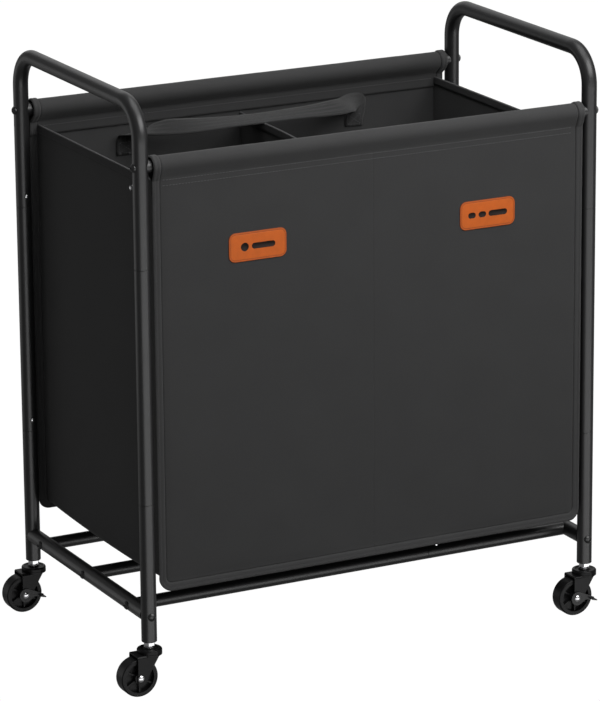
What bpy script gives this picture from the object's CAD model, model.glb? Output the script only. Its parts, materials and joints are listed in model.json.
"""Looks for the rolling laundry sorter, in metres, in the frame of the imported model.

The bag's cloth, straps, labels and stitching are built here around the CAD frame, which gets
painted, plated and moulded finishes. A studio with a white floor and the camera come last.
"""
import json
import math

import bpy
import numpy as np
from mathutils import Matrix, Vector, noise


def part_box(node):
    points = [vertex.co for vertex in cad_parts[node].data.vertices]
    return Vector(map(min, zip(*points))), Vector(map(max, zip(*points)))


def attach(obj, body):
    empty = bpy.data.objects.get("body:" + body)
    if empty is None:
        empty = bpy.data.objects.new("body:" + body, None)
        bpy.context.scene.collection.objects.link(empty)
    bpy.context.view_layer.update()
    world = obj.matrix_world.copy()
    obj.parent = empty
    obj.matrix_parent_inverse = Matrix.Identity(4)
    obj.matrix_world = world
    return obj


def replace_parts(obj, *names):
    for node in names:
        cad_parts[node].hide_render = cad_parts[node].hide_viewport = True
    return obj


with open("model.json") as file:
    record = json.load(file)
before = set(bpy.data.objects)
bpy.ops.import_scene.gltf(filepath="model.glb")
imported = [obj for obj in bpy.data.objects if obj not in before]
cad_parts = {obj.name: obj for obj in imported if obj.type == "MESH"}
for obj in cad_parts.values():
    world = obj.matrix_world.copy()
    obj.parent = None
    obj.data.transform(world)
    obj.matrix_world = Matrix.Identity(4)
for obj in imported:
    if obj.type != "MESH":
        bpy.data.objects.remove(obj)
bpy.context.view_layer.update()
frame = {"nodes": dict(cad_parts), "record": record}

MM = 0.001

# ---- places taken from the frame ----

rod_lo, rod_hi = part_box("top_rod_back")
ROD_Y = (rod_lo.y + rod_hi.y) / 2
ROD_Z = (rod_lo.z + rod_hi.z) / 2
panel_lo, panel_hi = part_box("bag_back_panel")
PANEL_HALF = panel_hi.x
PANEL_LOW = panel_lo.z
SLEEVE_R = panel_hi.y - ROD_Y
side_lo, side_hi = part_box("bag_left_side")
BOX_X = -(side_lo.x + side_hi.x) / 2
SIDE_TOP = side_hi.z
PANEL_Y = side_hi.y + (side_hi.x - side_lo.x) / 2
floor_lo, floor_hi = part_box("bag_floor")
FLOOR_Z = (floor_lo.z + floor_hi.z) / 2
DIVIDER_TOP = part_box("bag_divider")[1].z
label_lo, label_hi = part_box("label_patches")

# ---- bag dimensions ----

CLOTH = 1.2 * MM
CORNER_R = 16 * MM                # outer corners of the long panels
FLANGE = 9.5 * MM                 # bound edge outside the seam
SLEEVE_SEAM_Z = ROD_Z - 17 * MM   # upper stitch line, where the two layers meet
HEM_Z = ROD_Z - 35 * MM           # lower edge of the turned-in layer
STITCH_GAP = 6.8 * MM             # between the two stitch lines of the sleeve
LAYER_GAP = 1.8 * MM              # between the sleeve's two layers at the stitch lines
BAND_LIFT = 0.75 * MM             # height of the bound edge over the panel
SWELL = 0.55 * MM                 # soft rise of the cloth inside the seam
SWELL_RUN = 9 * MM                # distance over which it rises
GUSSET_R = 12 * MM                # lower corners of the strip
FLOOR_SAG = 3.5 * MM
BINDING_W = 9 * MM
STITCH_LEN = 3.0 * MM
STITCH_STEP = 4.1 * MM
THREAD_R = 0.34 * MM
FINE_THREAD_R = 0.28 * MM


def smooth(t):
    """A soft step from 0 to 1."""
    t = np.clip(t, 0, 1)
    return t * t * (3 - 2 * t)


def ripple(x, y, z, size):
    """Smooth noise from -1 to 1 whose features are about size metres across."""
    return noise.noise(Vector((x / size, y / size, z / size)))


# ---- materials ----

class Nodes:
    """A material under construction: makes nodes and links them."""

    def __init__(self, name):
        self.material = bpy.data.materials.new(name)
        self.material.use_nodes = True
        self.tree = self.material.node_tree
        self.shader = self.tree.nodes.get("Principled BSDF")

    def add(self, kind, **settings):
        node = self.tree.nodes.new(kind)
        for key, value in settings.items():
            setattr(node, key, value)
        return node

    def link(self, source, target):
        self.tree.links.new(source, target)

    def put(self, socket, value):
        """A number or colour on a socket, or a link from another socket."""
        if isinstance(value, bpy.types.NodeSocket):
            self.link(value, socket)
        else:
            socket.default_value = value

    def math(self, operation, a, b=0.0, c=0.0):
        node = self.add("ShaderNodeMath", operation=operation)
        for socket, value in zip(node.inputs, (a, b, c)):
            self.put(socket, value)
        return node.outputs[0]

    def attribute(self, name, output):
        return self.add("ShaderNodeAttribute", attribute_name=name).outputs[output]

    def cloth(self):
        """The cloth coordinates in millimetres, and their two parts."""
        cloth = self.attribute("cloth", "Vector")
        split = self.add("ShaderNodeSeparateXYZ")
        self.link(cloth, split.inputs[0])
        return cloth, split.outputs["X"], split.outputs["Y"]

    def position(self):
        """Object coordinates in millimetres."""
        coords = self.add("ShaderNodeTexCoord")
        scaled = self.add("ShaderNodeVectorMath", operation="SCALE")
        scaled.inputs["Scale"].default_value = 1000.0
        self.link(coords.outputs["Object"], scaled.inputs[0])
        return scaled.outputs[0]

    def noise(self, vector, size, detail=3.0):
        """Noise from 0 to 1 with features about size millimetres across."""
        node = self.add("ShaderNodeTexNoise")
        node.inputs["Scale"].default_value = 1.0 / size
        node.inputs["Detail"].default_value = detail
        self.link(vector, node.inputs["Vector"])
        return node.outputs["Fac"]

    def spread(self, value, low, high):
        """A value from 0 to 1 remapped to a range."""
        node = self.add("ShaderNodeMapRange")
        self.put(node.inputs["Value"], value)
        node.inputs["To Min"].default_value = low
        node.inputs["To Max"].default_value = high
        return node.outputs["Result"]

    def tint(self, base, factor):
        """A colour multiplied by a varying factor."""
        node = self.add("ShaderNodeVectorMath", operation="SCALE")
        node.inputs[0].default_value = base[:3]
        self.put(node.inputs["Scale"], factor)
        return node.outputs[0]

    def mix(self, factor, a, b):
        node = self.add("ShaderNodeMix", data_type="RGBA")
        self.put(node.inputs["Factor"], factor)
        self.put(node.inputs["A"], a)
        self.put(node.inputs["B"], b)
        return node.outputs["Result"]

    def bump(self, height, depth_mm, strength=1.0, normal=None):
        node = self.add("ShaderNodeBump")
        node.inputs["Strength"].default_value = strength
        node.inputs["Distance"].default_value = depth_mm * MM
        self.put(node.inputs["Height"], height)
        if normal is not None:
            self.link(normal, node.inputs["Normal"])
        return node.outputs["Normal"]

    def finish(self, color, roughness, normal=None, **fixed):
        self.put(self.shader.inputs["Base Color"], color)
        self.put(self.shader.inputs["Roughness"], roughness)
        if normal is not None:
            self.link(normal, self.shader.inputs["Normal"])
        for key, value in fixed.items():
            self.shader.inputs[key.replace("_", " ")].default_value = value
        return self.material


def rgba(r, g, b):
    return (r, g, b, 1.0)


def woven(name, color, pitch, depth, worn=0.35):
    """Plain weave: over-and-under threads, slubs, soft wear where the wear attribute says."""
    n = Nodes(name)
    cloth, x, y = n.cloth()
    across = n.math("COSINE", n.math("MULTIPLY", x, math.pi / pitch))
    along = n.math("COSINE", n.math("MULTIPLY", y, math.pi / pitch))
    over = n.math("MULTIPLY_ADD", n.math("MULTIPLY", across, along), 0.5, 0.5)
    slub = n.noise(cloth, 2.2, 2.0)
    patch = n.noise(cloth, 55.0, 3.0)
    wear = n.math("MULTIPLY", n.attribute("wear", "Fac"), worn)
    light = n.math("ADD", n.spread(patch, 0.9, 1.1), n.spread(slub, -0.12, 0.12))
    light = n.math("ADD", light, n.math("MULTIPLY", over, 0.16))
    light = n.math("ADD", light, wear)
    height = n.math("ADD", over, n.math("MULTIPLY", slub, 0.6))
    shade = n.spread(slub, 0.78, 0.95)
    return n.finish(n.tint(color, light), shade, n.bump(height, depth), Sheen_Weight=0.1,
                    Sheen_Roughness=0.45, Specular_IOR_Level=0.12)


def webbing(name, color):
    """Herringbone webbing: diagonal ribs that turn at the middle, and a tighter edge."""
    n = Nodes(name)
    cloth, x, y = n.cloth()
    zigzag = n.math("PINGPONG", x, 3.1)
    ribs = n.math("SINE", n.math("MULTIPLY", n.math("ADD", zigzag, y), 5.2))
    threads = n.math("COSINE", n.math("MULTIPLY", x, 7.5))
    height = n.math("MULTIPLY_ADD", ribs, 0.5, n.math("MULTIPLY", threads, 0.25))
    light = n.math("MULTIPLY_ADD", ribs, 0.1, n.spread(n.noise(cloth, 9.0), 0.88, 1.12))
    return n.finish(n.tint(color, light), n.spread(n.noise(cloth, 1.2), 0.6, 0.8),
                    n.bump(height, 0.25), Sheen_Weight=0.15, Sheen_Roughness=0.4,
                    Specular_IOR_Level=0.2)


def coated(name, color, rough, grain=1.1, specular=0.5):
    """Powder coat: fine orange peel, faint cloudiness in the gloss, dust in the grain."""
    n = Nodes(name)
    at = n.position()
    peel = n.noise(at, grain, 2.0)
    cloud = n.noise(at, 26.0, 4.0)
    speck = n.noise(at, 0.35, 1.0)
    color_out = n.tint(color, n.math("ADD", n.spread(cloud, 0.8, 1.2), n.spread(speck, -0.15, 0.15)))
    shade = n.math("ADD", n.spread(cloud, rough - 0.05, rough + 0.05), n.spread(peel, -0.03, 0.03))
    return n.finish(color_out, shade, n.bump(peel, 0.012, 0.6), Specular_IOR_Level=specular)


def moulded(name, color, rough):
    """Moulded plastic: fine spark-eroded grain and faint scuffing."""
    n = Nodes(name)
    at = n.position()
    grain = n.noise(at, 0.5, 2.0)
    scuff = n.noise(at, 7.0, 5.0)
    shade = n.spread(scuff, rough - 0.1, rough + 0.1)
    return n.finish(n.tint(color, n.spread(scuff, 0.75, 1.35)), shade, n.bump(grain, 0.03, 0.6),
                    Specular_IOR_Level=0.15)


def plated(name, color, rough):
    """Plated or spring steel with a drawn grain."""
    n = Nodes(name)
    at = n.position()
    stretch = n.add("ShaderNodeMapping")
    stretch.inputs["Scale"].default_value = (1.0, 1.0, 9.0)
    n.link(at, stretch.inputs["Vector"])
    grain = n.noise(stretch.outputs[0], 0.8, 3.0)
    stain = n.noise(at, 5.0, 3.0)
    shade = n.spread(grain, rough - 0.05, rough + 0.07)
    return n.finish(n.tint(color, n.spread(stain, 0.85, 1.08)), shade, n.bump(grain, 0.012, 0.5),
                    Metallic=1.0)


def leather(name, color):
    """Smooth leather: pebbled grain, flecks, a burnished darker rim from the wear attribute."""
    n = Nodes(name)
    at = n.position()
    cells = n.add("ShaderNodeTexVoronoi", feature="DISTANCE_TO_EDGE")
    cells.inputs["Scale"].default_value = 1.0 / 0.9
    n.link(at, cells.inputs["Vector"])
    grain = n.spread(cells.outputs["Distance"], 0.0, 1.6)
    patch = n.noise(at, 9.0, 4.0)
    fleck = n.noise(at, 0.6, 2.0)
    light = n.math("ADD", n.spread(patch, 0.82, 1.14), n.spread(fleck, -0.1, 0.1))
    rim = n.attribute("wear", "Fac")
    dark = (color[0] * 0.35, color[1] * 0.3, color[2] * 0.3)
    color_out = n.mix(rim, n.tint(color, light), rgba(*dark))
    return n.finish(color_out, n.spread(patch, 0.5, 0.66), n.bump(grain, 0.05, 0.5),
                    Specular_IOR_Level=0.3)


def ink(name, color):
    """Matt printed ink, a little patchy."""
    n = Nodes(name)
    speck = n.noise(n.position(), 0.5, 2.0)
    return n.finish(n.tint(color, n.spread(speck, 0.7, 1.3)), n.spread(speck, 0.6, 0.8),
                    Specular_IOR_Level=0.12)


def thread(name, color):
    """Twisted sewing thread."""
    n = Nodes(name)
    at = n.position()
    twist = n.noise(at, 0.3, 1.0)
    return n.finish(n.tint(color, n.spread(twist, 0.8, 1.2)), n.spread(twist, 0.5, 0.7),
                    n.bump(twist, 0.04), Sheen_Weight=0.2, Specular_IOR_Level=0.3)


BAG_OUTER = woven("bag_outer_weave", (0.0335, 0.0335, 0.0338), 0.55, 0.07)
BAG_INNER = woven("bag_inner_weave", (0.031, 0.031, 0.0312), 0.55, 0.07)
BINDING = woven("bag_binding_tape", (0.024, 0.024, 0.0243), 0.7, 0.1, worn=1.5)
WEBBING = webbing("strap_webbing", (0.0235, 0.0235, 0.0238))
LABEL = leather("label_leather_grain", (0.50, 0.094, 0.002))
LABEL_INK = ink("label_ink", (0.018, 0.012, 0.010))
THREAD = thread("bag_thread", (0.062, 0.062, 0.064))
THREAD_DARK = thread("bag_thread_dark", (0.022, 0.022, 0.023))

# the finish of each material slot that the CAD nodes use
FINISHES = {
    "frame_paint": coated("frame_powder_coat", (0.010, 0.010, 0.0105), 0.36),
    "caster_paint": coated("caster_black_coat", (0.005, 0.005, 0.0053), 0.3, 0.7, 0.13),
    "wheel_plastic": moulded("wheel_moulded_plastic", (0.006, 0.006, 0.0063), 0.36),
    "bright_steel": plated("bright_plating", (0.62, 0.62, 0.63), 0.2),
    "spring_steel": plated("spring_steel_grain", (0.36, 0.36, 0.37), 0.34),
    "zinc_steel": plated("zinc_plating", (0.42, 0.43, 0.44), 0.38),
    "screw_black": coated("screw_black_oxide", (0.012, 0.012, 0.0125), 0.32, 0.5),
    "lever_steel": coated("lever_black_plating", (0.012, 0.012, 0.0125), 0.26, 0.5, 0.22),
}


# ---- mesh building ----

def piece(name, verts, faces, materials, picks=None):
    """A smooth-shaded mesh piece of the bag, with a material index per face if picks is given."""
    mesh = bpy.data.meshes.new(name)
    mesh.from_pydata([tuple(v) for v in verts], [], faces)
    for material in materials:
        mesh.materials.append(material)
    if picks is not None:
        mesh.polygons.foreach_set("material_index", picks)
    mesh.polygons.foreach_set("use_smooth", [True] * len(mesh.polygons))
    mesh.update()
    obj = bpy.data.objects.new(name, mesh)
    bpy.context.scene.collection.objects.link(obj)
    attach(obj, "root")
    return obj


def set_attributes(obj, cloth=None, wear=None):
    """Cloth coordinates in millimetres and wear from 0 to 1, one per vertex."""
    count = len(obj.data.vertices)
    if cloth is not None:
        flat = np.zeros((count, 3), np.float32)
        flat[:, :2] = np.asarray(cloth, np.float32).reshape(count, 2)
        layer = obj.data.attributes.new("cloth", "FLOAT_VECTOR", "POINT")
        layer.data.foreach_set("vector", flat.ravel())
    worn = np.zeros(count) if wear is None else np.asarray(wear, float).ravel()
    layer = obj.data.attributes.new("wear", "FLOAT", "POINT")
    layer.data.foreach_set("value", worn.astype(np.float32))


def grid_faces(rows, cols, flip=False):
    """Quads between the points of a grid."""
    faces = []
    for i in range(rows - 1):
        for j in range(cols - 1):
            a = i * cols + j
            quad = (a, a + 1, a + cols + 1, a + cols)
            faces.append(quad[::-1] if flip else quad)
    return faces


def thicken(obj, thickness):
    solid = obj.modifiers.new("thickness", "SOLIDIFY")
    solid.thickness = thickness
    solid.offset = 0.0


def cloth_sheet(name, points, cloth, wear, material, flip=False, thickness=CLOTH):
    """A woven sheet from a grid of points, given real thickness by a modifier."""
    rows, cols = points.shape[:2]
    obj = piece(name, points.reshape(-1, 3), grid_faces(rows, cols, flip), [material])
    set_attributes(obj, cloth.reshape(-1, 2), wear)
    thicken(obj, thickness)
    return obj


class Threads:
    """Short capsule stitches gathered into one mesh."""
    SIDES = 6
    # share of the length, share of the radius
    RINGS = [(0.08, 0.75), (0.25, 1.0), (0.75, 1.0), (0.92, 0.75)]

    def __init__(self):
        self.verts = []
        self.faces = []

    def stitch(self, start, end, up, radius):
        """One stitch, whose ends dip into the cloth."""
        start, end = np.asarray(start, float), np.asarray(end, float)
        axis = end - start
        side = np.cross(axis, up)
        side /= np.linalg.norm(side)
        up = np.cross(side, axis)
        up /= np.linalg.norm(up)
        base = len(self.verts)
        for share, fat in self.RINGS:
            dip = -0.35 * radius * (1 - math.sin(math.pi * share))
            centre = start + axis * share + up * dip
            for k in range(self.SIDES):
                turn = 2 * math.pi * k / self.SIDES
                self.verts.append(centre + radius * fat * (math.cos(turn) * side + math.sin(turn) * up))
        rings = len(self.RINGS)
        self.verts.append(start - up * 0.5 * radius)
        self.verts.append(end - up * 0.5 * radius)
        first, last = base + rings * self.SIDES, base + rings * self.SIDES + 1
        for r in range(rings - 1):
            for k in range(self.SIDES):
                a, b = base + r * self.SIDES + k, base + r * self.SIDES + (k + 1) % self.SIDES
                self.faces.append((a, b, b + self.SIDES, a + self.SIDES))
        for k in range(self.SIDES):
            a, b = base + k, base + (k + 1) % self.SIDES
            self.faces.append((b, a, first))
            c = (rings - 1) * self.SIDES
            self.faces.append((a + c, b + c, last))

    def along(self, points, normals, step=STITCH_STEP, length=STITCH_LEN, radius=THREAD_R):
        """Stitches laid along a polyline that already lies on the surface."""
        points, normals = np.asarray(points, float), np.asarray(normals, float)
        run = np.concatenate([[0], np.cumsum(np.linalg.norm(np.diff(points, axis=0), axis=1))])
        count = max(1, int(run[-1] / step))
        gap = run[-1] / count
        for i in range(count):
            a = gap * (i + 0.5) - length / 2
            ends = [[np.interp(a + d, run, points[:, k]) for k in range(3)] for d in (0, length)]
            up = [np.interp(a + length / 2, run, normals[:, k]) for k in range(3)]
            self.stitch(ends[0], ends[1], up, radius)

    def make(self, name, material, slot):
        """The piece made of all the stitches so far."""
        obj = piece(name, self.verts, self.faces, [material])
        set_attributes(obj)
        return obj


# ---- long panels ----

# distances in from an edge, in millimetres, that follow the relief of the bound edge
BAND_STOPS = [0, 0.3, 0.7, 1.2, 2, 3, 4, 4.4, 5, 6.2, 7.4, 8.2, 8.8, 9.2, 9.5, 9.8, 10.2, 10.8, 11.8,
              13.2, 15, 17.5, 21, 26]


def edge_distance(x, z):
    """How far inside a long panel's outline a point lies."""
    dx, dz = PANEL_HALF - abs(x), z - PANEL_LOW
    if dx < CORNER_R and dz < CORNER_R:
        return CORNER_R - math.hypot(CORNER_R - dx, CORNER_R - dz)
    return min(dx, dz)


def band_relief(d, lift):
    """Height of the bound edge, its crease and seam groove, and the soft swell beside it."""
    band = lift * smooth(d / (1.2 * MM)) * (1 - smooth((d - FLANGE + 1.6 * MM) / (1.4 * MM)))
    groove = -0.75 * MM * math.exp(-((d - FLANGE) / (0.8 * MM)) ** 2)
    crease = -0.22 * MM * math.exp(-((d - 0.45 * FLANGE) / (0.7 * MM)) ** 2)
    swell = SWELL * smooth((d - FLANGE) / SWELL_RUN)
    return band + groove + crease + swell


def drape(x, z, side):
    """Slow waves of the hanging cloth, stronger low down, and puckers along the stitch lines."""
    low = 1 - smooth((z - PANEL_LOW) / 0.45)
    slow = ripple(x, 0.3 * side, 0.55 * z, 0.17) * (0.9 + 1.2 * low) * MM
    fine = ripple(x + 2, 0.7 * side, z, 0.045) * 0.28 * MM
    near = math.exp(-((z - SLEEVE_SEAM_Z + STITCH_GAP) / (9 * MM)) ** 2)
    pucker = ripple(x * 1.6, side, 0.2 * z, 0.016) * 0.38 * near * MM
    inset = smooth(edge_distance(x, z) / (26 * MM))
    return (slow + fine) * inset + pucker


def flare(z):
    """The lower edge kicks outward where the floor is sewn in."""
    bend = 7 * MM
    slope = 0.27
    down = max(0.0, PANEL_LOW + FLANGE + bend - z)
    if down < bend:
        return 0.5 * slope * down * down / bend
    return slope * (down - bend / 2)


def panel_out(x, z, side):
    """Distance of the flat part of a long panel from the bag's middle plane."""
    middle_seam = -0.28 * MM * math.exp(-(x / (0.9 * MM)) ** 2)
    relief = band_relief(edge_distance(x, z), BAND_LIFT)
    return PANEL_Y + relief + drape(x, z, side) + flare(z) + middle_seam


def tangent_angle(point, radius, turn):
    """Angle on the sleeve's circle where a line from the point (out, z) touches it."""
    dy, dz = point[0] - ROD_Y, point[1] - ROD_Z
    return math.atan2(dz, dy) + turn * math.acos(radius / math.hypot(dy, dz))


def sleeve_rows():
    """Section of the sleeve past the upper stitch line: out, z, normal out, normal z, lift."""
    line_steps, arc_steps, hem_steps = 5, 30, 7
    radius = SLEEVE_R - CLOTH / 2
    outer = (PANEL_Y, SLEEVE_SEAM_Z)
    inner = (PANEL_Y - LAYER_GAP, SLEEVE_SEAM_Z)
    first = tangent_angle(outer, radius, 1)
    last = tangent_angle(inner, radius, -1) + 2 * math.pi
    rows = []

    def line(a, b, normal, steps):
        for i in range(1, steps + 1):
            t = i / steps
            rows.append((a[0] + (b[0] - a[0]) * t, a[1] + (b[1] - a[1]) * t, *normal, smooth(t)))

    def on_circle(angle):
        return ROD_Y + radius * math.cos(angle), ROD_Z + radius * math.sin(angle)

    line(outer, on_circle(first), (math.cos(first), math.sin(first)), line_steps)
    for i in range(1, arc_steps):
        angle = first + (last - first) * i / arc_steps
        rows.append((*on_circle(angle), math.cos(angle), math.sin(angle), 1.0))
    line(on_circle(last), inner, (math.cos(last), math.sin(last)), line_steps)
    rows[-1] = (*inner, -1.0, 0.0, 0.0)
    line(inner, (inner[0], HEM_Z), (-1.0, 0.0), hem_steps)
    hem_from = len(rows) - hem_steps - 1
    return [r[:4] + (1.0 if k < hem_from else 0.4,) for k, r in enumerate(rows)]


def panel_columns():
    """X places: close together by the edge bands and the middle seam."""
    edge = BAND_STOPS + [32]
    inner = np.linspace(PANEL_HALF - 38 * MM, 6 * MM, 33)
    middle = [2.2 * MM, 1.0 * MM, 0.4 * MM]
    half = [PANEL_HALF - e * MM for e in edge] + list(inner) + middle
    return np.array([-x for x in half] + [0.0] + half[::-1])


def panel_levels():
    """Heights above the lower edge: close together by the band and the stitch lines."""
    low = BAND_STOPS + [33]
    top = SLEEVE_SEAM_Z - PANEL_LOW
    middle = np.linspace(42 * MM, top - 22 * MM, 46)
    near = top - np.array([17, 13, 10.5, 9, 8, 7.3, 6.8, 6.3, 5.6, 4.6, 3.4, 2.2, 1.2, 0.5, 0]) * MM
    return np.concatenate([np.array(low) * MM, middle, near])


def column_low(x):
    """Height of the panel's outline above its lowest edge, round at the corners."""
    into = abs(x) - (PANEL_HALF - CORNER_R)
    return 0.0 if into <= 0 else CORNER_R - math.sqrt(max(0.0, CORNER_R ** 2 - into ** 2))


def long_panel(name, side, node):
    """One continuous sheet: flat face, sleeve over the rod, turned-in hem."""
    columns, levels, sleeve = panel_columns(), panel_levels(), sleeve_rows()
    fade = 45 * MM      # height over which the rows lose the round of the lower corners
    points, cloth, wear = [], [], []

    def edge_wear(d):
        return 0.5 * math.exp(-d / (2 * MM)) + 0.35 * (d < FLANGE)

    for level in levels:
        for x in columns:
            z = PANEL_LOW + level + column_low(x) * max(0.0, 1 - level / fade)
            points.append((x, side * panel_out(x, z, side), z))
            cloth.append((x / MM, level / MM))
            wear.append(edge_wear(edge_distance(x, z)))
    run, before = levels[-1], (PANEL_Y, SLEEVE_SEAM_Z)
    for out, z, n_out, n_z, lift in sleeve:
        run += math.hypot(out - before[0], z - before[1])
        before = (out, z)
        for x in columns:
            d = PANEL_HALF - abs(x)
            rise = band_relief(d, 2 * BAND_LIFT * lift) - SWELL * smooth((d - FLANGE) / SWELL_RUN)
            inset = smooth(d / (30 * MM))
            rise += ripple(x, 3 * side, 2 * run, 0.07) * 0.3 * MM * inset
            rise += ripple(x * 1.5, side, 9.0, 0.02) * 0.12 * MM
            points.append((x, side * (out + rise * n_out), z + rise * n_z))
            cloth.append((x / MM, run / MM))
            wear.append(edge_wear(d) + 0.2 * max(0.0, n_z))
    rows = len(levels) + len(sleeve)
    grid = np.array(points).reshape(rows, len(columns), 3)
    obj = cloth_sheet(name, grid, np.array(cloth), np.array(wear), BAG_OUTER,
                      flip=side > 0)
    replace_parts(obj, node)


def on_face(x, z, side, lift):
    """A point held off the outside of a long panel."""
    return x, side * (panel_out(x, z, side) + CLOTH / 2 + lift), z


def sleeve_stitches(side):
    """Two lines under the sleeve, seen from outside and from inside."""
    threads = Threads()
    reach = PANEL_HALF - FLANGE - 3 * MM
    xs = np.arange(-reach, reach, 4 * MM)
    inner_y = side * (PANEL_Y - LAYER_GAP - CLOTH / 2 - 0.1 * MM)
    for z in (SLEEVE_SEAM_Z, SLEEVE_SEAM_Z - STITCH_GAP):
        threads.along([on_face(x, z, side, 0.15 * MM) for x in xs], [(0, side, 0)] * len(xs))
        threads.along([(x, inner_y, z) for x in xs], [(0, -side, 0)] * len(xs))
    return threads


def edge_stitches(side):
    """A line round the bound edge and one down the middle seam."""
    threads = Threads()
    lift, step = 0.1 * MM, 6 * MM
    inset = 2.6 * MM
    normal = (0, side, 0)
    radius = CORNER_R - inset
    centre_x, centre_z = PANEL_HALF - CORNER_R, PANEL_LOW + CORNER_R
    path = [(-PANEL_HALF + inset, z) for z in np.arange(SLEEVE_SEAM_Z, centre_z, -step)]
    path += [(-centre_x - radius * math.cos(t), centre_z - radius * math.sin(t))
             for t in np.linspace(0, math.pi / 2, 9)]
    path += [(x, PANEL_LOW + inset) for x in np.arange(-centre_x + step, centre_x, step)]
    path += [(centre_x + radius * math.sin(t), centre_z - radius * math.cos(t))
             for t in np.linspace(0, math.pi / 2, 9)]
    path += [(PANEL_HALF - inset, z) for z in np.arange(centre_z + step, SLEEVE_SEAM_Z, step)]
    threads.along([on_face(x, z, side, lift) for x, z in path], [normal] * len(path),
                  radius=FINE_THREAD_R)
    zs = np.arange(PANEL_LOW + FLANGE + 4 * MM, SLEEVE_SEAM_Z - 12 * MM, step)
    threads.along([on_face(0.0, z, side, lift) for z in zs], [normal] * len(zs), radius=0.26 * MM)
    return threads


# ---- gusset and divider, sewn between the long panels ----

SEWN_HALF = PANEL_Y - CLOTH       # half of their width


def sewn_depths(count):
    """Places across the sheet, closer together by its edges."""
    return SEWN_HALF * np.sin(np.linspace(-math.pi / 2, math.pi / 2, count))


def sewn_depth(x, y, z):
    """Depth y stretched so that the sheet meets the long panels where they bulge."""
    side = 1 if y > 0 else -1
    return y * (panel_out(x, z, side) - 0.8 * CLOTH) / SEWN_HALF


def gusset_path():
    """Section of the strip across X: x, z, normal x, normal z, from left top to right top."""
    rows = []
    for z in np.concatenate([SIDE_TOP - np.array([0, 1, 2.5, 5, 8, 9.5, 11, 14, 20]) * MM,
                             np.linspace(SIDE_TOP - 30 * MM, FLOOR_Z + GUSSET_R + 4 * MM, 40)]):
        rows.append((-BOX_X, z, -1.0, 0.0))
    for t in np.linspace(0, math.pi / 2, 9):
        rows.append((-BOX_X + GUSSET_R * (1 - math.cos(t)), FLOOR_Z + GUSSET_R * (1 - math.sin(t)),
                     -math.cos(t), -math.sin(t)))
    for x in np.linspace(-BOX_X + GUSSET_R + 6 * MM, 0, 34):
        rows.append((x, FLOOR_Z, 0.0, -1.0))
    return rows + [(-x, z, -nx, nz) for x, z, nx, nz in rows[-2::-1]]


def gusset():
    """Left side, floor and right side in one strip."""
    rows, ys = gusset_path(), sewn_depths(45)
    points, cloth, wear = [], [], []
    run, before = 0.0, rows[0][:2]
    for x, z, nx, nz in rows:
        run += math.hypot(x - before[0], z - before[1])
        before = (x, z)
        top = math.exp(-(SIDE_TOP - z) / (14 * MM))
        for y in ys:
            share = 1 - (y / SEWN_HALF) ** 2
            sag = FLOOR_SAG * share * max(0.0, -nz)
            bow = 1.6 * MM * share * smooth((SIDE_TOP - z) / 0.1) * abs(nx)
            wave = ripple(y, x, 0.5 * z, 0.11) * 1.1 * MM * smooth(share * 2.5) * (1 - 0.5 * top)
            gather = ripple(y * 2, x, z, 0.03) * 0.3 * MM * (1 - abs(nx)) * share
            rise = sag + bow + wave + gather
            points.append((x + nx * rise, sewn_depth(x, y, z), z + nz * rise))
            cloth.append((y / MM, run / MM))
            wear.append(0.6 * top + 0.25 * math.exp(-(SEWN_HALF - abs(y)) / (4 * MM)))
    grid = np.array(points).reshape(len(rows), len(ys), 3)
    obj = cloth_sheet("bag_gusset", grid, np.array(cloth), np.array(wear), BAG_INNER)
    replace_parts(obj, "bag_left_side", "bag_right_side", "bag_floor")
    return grid


def divider():
    """The wall between the two compartments, sewn to the long panels and the floor."""
    ys = sewn_depths(37)
    zs = np.concatenate([DIVIDER_TOP - np.array([0, 1, 2.5, 5, 8, 10, 12, 16, 22]) * MM,
                         np.linspace(DIVIDER_TOP - 32 * MM, FLOOR_Z + CLOTH, 42)])
    points, cloth, wear = [], [], []
    for z in zs:
        for y in ys:
            share = 1 - (y / SEWN_HALF) ** 2
            wave = ripple(1.3 * y, 7.0, 0.6 * z, 0.12) * 3.0 * MM * share
            dip = 1.6 * MM * share * math.exp(-(DIVIDER_TOP - z) / 0.05)
            sag = FLOOR_SAG * share * (1 - smooth((z - FLOOR_Z) / 0.05))
            points.append((wave, sewn_depth(0.0, y, z), z - dip - sag))
            cloth.append((y / MM, z / MM))
            wear.append(0.6 * math.exp(-(DIVIDER_TOP - z) / (10 * MM)))
    grid = np.array(points).reshape(len(zs), len(ys), 3)
    obj = cloth_sheet("bag_divider_cloth", grid, np.array(cloth), np.array(wear), BAG_INNER)
    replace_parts(obj, "bag_divider")
    return grid


def tape(name, edge):
    """Binding folded over an edge: a flattened U section, across X, swept along its points."""
    width, wrap = BINDING_W, 1.35 * MM
    # side of the edge, in wraps, and height above it
    section = [(-1.0, -width), (-1.04, -0.72 * width), (-0.98, -0.3 * width), (-0.98, -0.12 * width)]
    section += [(-math.cos(t), math.sin(t) * 0.9 * wrap) for t in np.linspace(0.15, math.pi - 0.15, 7)]
    section += [(-a, z) for a, z in section[3::-1]]
    verts, cloth, wear = [], [], []
    run = 0.0
    for k, p in enumerate(edge):
        if k:
            run += np.linalg.norm(p - edge[k - 1])
        for i, (a, z) in enumerate(section):
            verts.append(p + np.array([a * wrap, 0, z]))
            cloth.append((i * width / 4 / MM, run / MM))
            wear.append(smooth(z / (0.6 * wrap)))
    obj = piece(name, verts, grid_faces(len(edge), len(section)), [BINDING])
    set_attributes(obj, cloth, wear)
    thicken(obj, 0.5 * MM)


# ---- carry straps ----

STRAP_W = 25 * MM
STRAP_T = 1.4 * MM
STRAP_END_X = 162 * MM            # middle of a sewn end
STRAP_END_Y = 175.8 * MM
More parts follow.
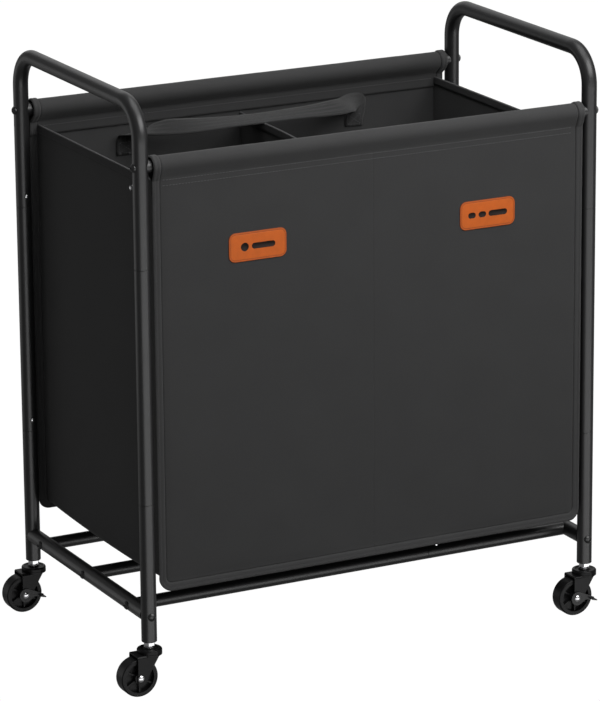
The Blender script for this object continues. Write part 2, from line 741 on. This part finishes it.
# the back strap from its left sewn end to its right one: place in millimetres, and the
# direction from its lower edge to its upper edge; the left end folds over, the right end twists
STRAP_FRAMES = [
    ((-162.0, 175.8, 579.0), (1.00, 0.00, 0.00)),
    ((-162.0, 175.8, 597.0), (1.00, 0.00, 0.00)),
    ((-161.5, 172.0, 604.5), (1.00, 0.05, 0.00)),
    ((-158.0, 164.0, 608.0), (0.95, 0.35, 0.05)),
    ((-150.0, 154.0, 611.5), (0.80, 0.60, 0.12)),
    ((-140.0, 144.0, 615.5), (0.62, 0.62, 0.40)),
    ((-126.0, 131.4, 619.0), (0.43, 0.66, 0.62)),
    ((-110.0, 122.6, 620.0), (0.28, 0.74, 0.61)),
    ((-92.0, 118.0, 620.3), (0.12, 0.84, 0.53)),
    ((-72.0, 117.2, 620.1), (0.00, 0.90, 0.43)),
    ((-50.0, 118.6, 619.5), (0.00, 0.93, 0.35)),
    ((-26.0, 120.7, 618.7), (0.00, 0.95, 0.31)),
    ((0.0, 121.5, 618.1), (0.00, 0.95, 0.30)),
    ((26.0, 120.7, 618.7), (0.00, 0.95, 0.31)),
    ((50.0, 118.6, 619.5), (0.00, 0.93, 0.35)),
    ((72.0, 117.2, 620.1), (0.00, 0.90, 0.43)),
    ((92.0, 118.0, 620.3), (-0.12, 0.84, 0.53)),
    ((110.0, 122.6, 620.0), (-0.28, 0.74, 0.61)),
    ((126.0, 131.4, 619.0), (-0.43, 0.66, 0.62)),
    ((140.0, 144.5, 617.3), (-0.40, 0.45, 0.80)),
    ((152.0, 157.0, 614.5), (-0.10, 0.20, 0.95)),
    ((163.0, 167.0, 611.5), (0.30, 0.10, 0.90)),
    ((169.0, 172.5, 606.0), (0.65, 0.08, 0.75)),
    ((166.5, 175.2, 598.0), (0.93, 0.03, 0.33)),
    ((162.5, 175.8, 589.0), (1.00, 0.00, 0.00)),
    ((162.0, 175.8, 579.0), (1.00, 0.00, 0.00)),
]


def catmull(values, per_span):
    """Points on a smooth curve through the given ones."""
    v = np.asarray(values, float)
    ends = np.vstack([2 * v[0] - v[1], v, 2 * v[-1] - v[-2]])
    out = []
    for i in range(1, len(ends) - 2):
        a, b, c, d = ends[i - 1:i + 3]
        for t in np.linspace(0, 1, per_span, endpoint=False):
            out.append(0.5 * (2 * b + (c - a) * t + (2 * a - 5 * b + 4 * c - d) * t ** 2
                              + (3 * b - a - 3 * c + d) * t ** 3))
    out.append(v[-1])
    return np.array(out)


def lying_depth(x, y, z, side):
    """Depth y of a strap's middle, held off the panel it is sewn to."""
    return min(y, panel_out(x, z, side) - CLOTH / 2 - STRAP_T / 2 - 0.1 * MM)


def strap(name, side):
    """A length of webbing along the strap's line, mirrored to the bag's side."""
    line = catmull([p for p, _ in STRAP_FRAMES], 5) * MM
    wide = catmull([w for _, w in STRAP_FRAMES], 5)
    tangent = np.gradient(line, axis=0)
    tangent /= np.linalg.norm(tangent, axis=1)[:, None]
    wide -= tangent * np.sum(wide * tangent, axis=1)[:, None]
    wide /= np.linalg.norm(wide, axis=1)[:, None]
    run = np.concatenate([[0], np.cumsum(np.linalg.norm(np.diff(line, axis=0), axis=1))])
    free = smooth(run / 0.06) * smooth((run[-1] - run) / 0.06)      # 0 where it is sewn down
    shares = np.linspace(-0.5, 0.5, 9)
    normal = np.cross(tangent, wide)
    points, cloth = [], []
    for k in range(len(line)):
        for share in shares:
            cup = 0.5 * MM * math.cos(math.pi * share) * free[k]
            p = line[k] + wide[k] * share * STRAP_W + normal[k] * cup
            points.append((p[0], lying_depth(*p, side) * side, p[2]))
            cloth.append((share * STRAP_W / MM, run[k] / MM))
    grid = np.array(points).reshape(len(line), len(shares), 3)
    edge = np.abs(np.tile(shares, len(line))) > 0.4
    obj = cloth_sheet(name, grid, np.array(cloth), edge * 0.3, WEBBING, flip=side > 0,
                      thickness=STRAP_T)
    return obj


def strap_stitches(threads, side):
    """A box with a cross through it at each sewn end."""
    z0, z1 = 581.5 * MM, 595.0 * MM
    half = 9.5 * MM
    normal = (0, -side, 0)

    def on_strap(x, z):
        return x, side * (lying_depth(x, STRAP_END_Y, z, side) - STRAP_T / 2 - 0.2 * MM), z

    for x in (-STRAP_END_X, STRAP_END_X):
        corners = [(x - half, z0), (x + half, z0), (x + half, z1), (x - half, z1), (x - half, z0),
                   (x + half, z1)]
        for a, b in list(zip(corners, corners[1:])) + [((x - half, z1), (x + half, z0))]:
            threads.along([on_strap(*a), on_strap(*b)], [normal] * 2, step=3.2 * MM,
                          length=2.5 * MM, radius=FINE_THREAD_R)


# ---- labels ----

LABEL_CORNER = 8.5 * MM
LABEL_HALF_W = 38.5 * MM


def rounded_outline(half_w, half_h, radius, steps=8):
    """A rectangle with round corners, about the origin."""
    points = []
    for cx, cz, start in ((1, 1, 0), (-1, 1, 90), (-1, -1, 180), (1, -1, 270)):
        for i in range(steps + 1):
            t = math.radians(start + 90 * i / steps)
            points.append((cx * (half_w - radius) + radius * math.cos(t),
                           cz * (half_h - radius) + radius * math.sin(t)))
    return points


def label(name, centre_x, mark):
    """A leather patch with a soft rim, a pressed border line and printed shapes."""
    half_h = (label_hi.z - label_lo.z) / 2
    centre_z = (label_hi.z + label_lo.z) / 2
    back = label_hi.y + 0.2 * MM
    thick = (label_hi.y - label_lo.y) - 0.2 * MM
    # inset from the outline, height of the surface, wear for the darker rim
    rings = [(0.0, 0.0, 1.0), (0.0, 0.55, 1.0), (0.25, 0.85, 0.8), (0.8, 1.0, 0.25), (1.7, 1.0, 0.1),
             (2.0, 0.86, 0.75), (2.3, 0.86, 0.75), (2.6, 1.0, 0.1), (3.6, 1.04, 0.0), (5.9, 1.08, 0.0)]
    verts, faces, wear = [], [], []
    for inset, height, worn in rings:
        inset *= MM
        for x, z in rounded_outline(LABEL_HALF_W - inset, half_h - inset, LABEL_CORNER - inset):
            verts.append((centre_x + x, back - thick * height, centre_z + z))
            wear.append(worn)
    count = len(verts) // len(rings)
    for r in range(len(rings) - 1):
        for k in range(count):
            a, b = r * count + k, r * count + (k + 1) % count
            faces.append((a, a + count, b + count, b))
    faces.append(tuple(range((len(rings) - 1) * count, len(rings) * count))[::-1])
    faces.append(tuple(range(count)))
    picks = [0] * len(faces)
    top = back - thick * 1.08 - 0.12 * MM

    def flat_mark(outline):
        start = len(verts)
        for y in (top + 0.3 * MM, top):
            for x, z in outline:
                verts.append((centre_x + x, y, centre_z + z))
                wear.append(0.0)
        n = len(outline)
        faces.append(tuple(range(start + n, start + 2 * n))[::-1])
        picks.append(1)
        for k in range(n):
            a, b = start + k, start + (k + 1) % n
            faces.append((b, a, a + n, b + n)[::-1])
            picks.append(1)

    for outline in mark:
        flat_mark(outline)
    obj = piece(name, verts, faces, [LABEL, LABEL_INK], picks)
    set_attributes(obj, wear=wear)
    return obj


def shifted(outline, dx):
    return [(x * MM + dx * MM, z * MM) for x, z in outline]


def disc(radius, steps=32):
    return [(radius * math.cos(2 * math.pi * i / steps), radius * math.sin(2 * math.pi * i / steps))
            for i in range(steps)]


# marks in millimetres from the middle of a label
DOT_AND_BAR = [shifted(disc(5.2), -17.5), shifted(rounded_outline(15.5, 3.6, 3.5), 7.5)]
THREE_BARS = [shifted(rounded_outline(half_w, 3.6, 3.5), x)
              for half_w, x in ((5.2, -22.0), (5.2, -7.5), (13.0, 14.2))]


# ---- build the bag ----

long_panel("bag_front_cloth", -1, "bag_front_panel")
long_panel("bag_back_cloth", 1, "bag_back_panel")
gusset_grid = gusset()
divider_grid = divider()
tape("binding_left_side", gusset_grid[0])
tape("binding_right_side", gusset_grid[-1])
tape("binding_divider", divider_grid[0])
for side, place in ((-1, "front"), (1, "back")):
    sleeve_stitches(side).make("stitches_sleeve_" + place, THREAD, "bag_outer")
    edge_stitches(side).make("stitches_edge_" + place, THREAD_DARK, "bag_outer")
for side, place in ((1, "back"), (-1, "front")):
    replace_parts(strap("strap_" + place, side), "carry_straps")
strap_threads = Threads()
for side in (-1, 1):
    strap_stitches(strap_threads, side)
strap_threads.make("stitches_straps", THREAD, "webbing")
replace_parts(label("label_left", label_lo.x + LABEL_HALF_W, DOT_AND_BAR), "label_patches")
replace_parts(label("label_right", label_hi.x - LABEL_HALF_W, THREE_BARS), "label_patches")

# ---- finishes of the CAD nodes ----

slots = {s["node"]: s["material_slot"] for s in frame["record"]["subparts"]}
for node_name, node in frame["nodes"].items():
    finish = FINISHES.get(slots[node_name])
    if finish is None:
        continue
    for material_slot in node.material_slots:
        material_slot.material = finish
    if not node.material_slots:
        node.data.materials.append(finish)


# ---- studio ----

def emissive(name, strength):
    material = bpy.data.materials.new(name)
    material.use_nodes = True
    shader = material.node_tree.nodes.get("Principled BSDF")
    shader.inputs["Base Color"].default_value = rgba(0, 0, 0)
    shader.inputs["Specular IOR Level"].default_value = 0.0
    shader.inputs["Emission Color"].default_value = rgba(1, 1, 1)
    shader.inputs["Emission Strength"].default_value = strength
    return material


def stage_only(obj):
    """Seen by the camera, and lights nothing."""
    obj.visible_diffuse = False
    obj.visible_glossy = False
    obj.visible_transmission = False
    obj.visible_shadow = False


WHITE = emissive("studio_white", 1.02)
bpy.ops.mesh.primitive_plane_add(size=16, location=(0, 0, -0.0005))
floor = bpy.context.object
floor.name = "studio_floor"
floor.data.materials.append(WHITE)
stage_only(floor)
bpy.ops.mesh.primitive_uv_sphere_add(segments=48, ring_count=24, radius=30, location=(0, 0, 0))
backdrop = bpy.context.object
backdrop.name = "studio_backdrop"
backdrop.data.materials.append(WHITE)
stage_only(backdrop)


def area_light(name, place, target, size, radiance, gloss_only=False):
    """A softbox of the given radiance: its power follows from its size."""
    data = bpy.data.lights.new(name, "AREA")
    data.shape = "RECTANGLE"
    data.size, data.size_y = size
    data.energy = radiance * math.pi * size[0] * size[1]
    lamp = bpy.data.objects.new(name, data)
    lamp.location = place
    lamp.rotation_mode = "QUATERNION"
    lamp.rotation_quaternion = (Vector(target) - Vector(place)).to_track_quat("-Z", "Y")
    lamp.visible_diffuse = not gloss_only
    bpy.context.scene.collection.objects.link(lamp)


# soft light on the cloth from above and in front
area_light("key_front", (0.5, -1.35, 1.65), (0.1, -0.2, 0.5), (1.9, 1.1), 5.4)
area_light("top", (0.1, -0.15, 2.2), (0.0, 0.0, 0.6), (1.7, 1.3), 2.3)
# strips mirrored in the upright tubes, which reflect what lies below their own height
area_light("strip_front", (-0.55, -2.7, -0.5), (-0.2, 0.0, 0.0), (3.6, 1.7), 2.0, True)
area_light("strip_back_left", (-2.1, 1.7, 0.2), (-0.3, 0.0, 0.2), (2.0, 1.3), 0.6, True)
area_light("strip_right", (1.7, -2.3, -0.5), (0.3, 0.0, 0.0), (1.0, 1.7), 2.4, True)
# high panel behind, mirrored along the tops of the handles
area_light("panel_back", (1.0, 2.7, 2.0), (0.0, 0.0, 0.7), (2.8, 2.0), 0.6, True)

world = bpy.data.worlds.new("studio_world")
bpy.context.scene.world = world
world.use_nodes = True
background = world.node_tree.nodes.get("Background")
background.inputs["Color"].default_value = rgba(1, 1, 1)
background.inputs["Strength"].default_value = 0.2
bpy.context.scene.view_settings.view_transform = "Standard"

# ---- camera ----

CAMERA_TARGET = Vector((27.72, 71.46, 322.11)) * MM
CAMERA_DISTANCE = 5.39862
CAMERA_AZIMUTH = math.radians(-27.101)
CAMERA_ELEVATION = math.radians(16.14)
CAMERA_ROLL = math.radians(-0.498)

camera_data = bpy.data.cameras.new("photo_camera")
camera_data.lens = 217.77
camera_data.sensor_width = 36.0
camera_data.clip_end = 100.0
camera = bpy.data.objects.new("photo_camera", camera_data)
bpy.context.scene.collection.objects.link(camera)
bpy.context.scene.camera = camera
toward = Vector((math.sin(CAMERA_AZIMUTH) * math.cos(CAMERA_ELEVATION),
                 -math.cos(CAMERA_AZIMUTH) * math.cos(CAMERA_ELEVATION), math.sin(CAMERA_ELEVATION)))
camera.location = CAMERA_TARGET + toward * CAMERA_DISTANCE
level_right = Vector((math.cos(CAMERA_AZIMUTH), math.sin(CAMERA_AZIMUTH), 0))
level_up = toward.cross(level_right)
cam_x = level_right * math.cos(CAMERA_ROLL) + level_up * math.sin(CAMERA_ROLL)
cam_y = level_up * math.cos(CAMERA_ROLL) - level_right * math.sin(CAMERA_ROLL)
camera.rotation_mode = "QUATERNION"
camera.rotation_quaternion = Matrix((cam_x, cam_y, toward)).transposed().to_quaternion()
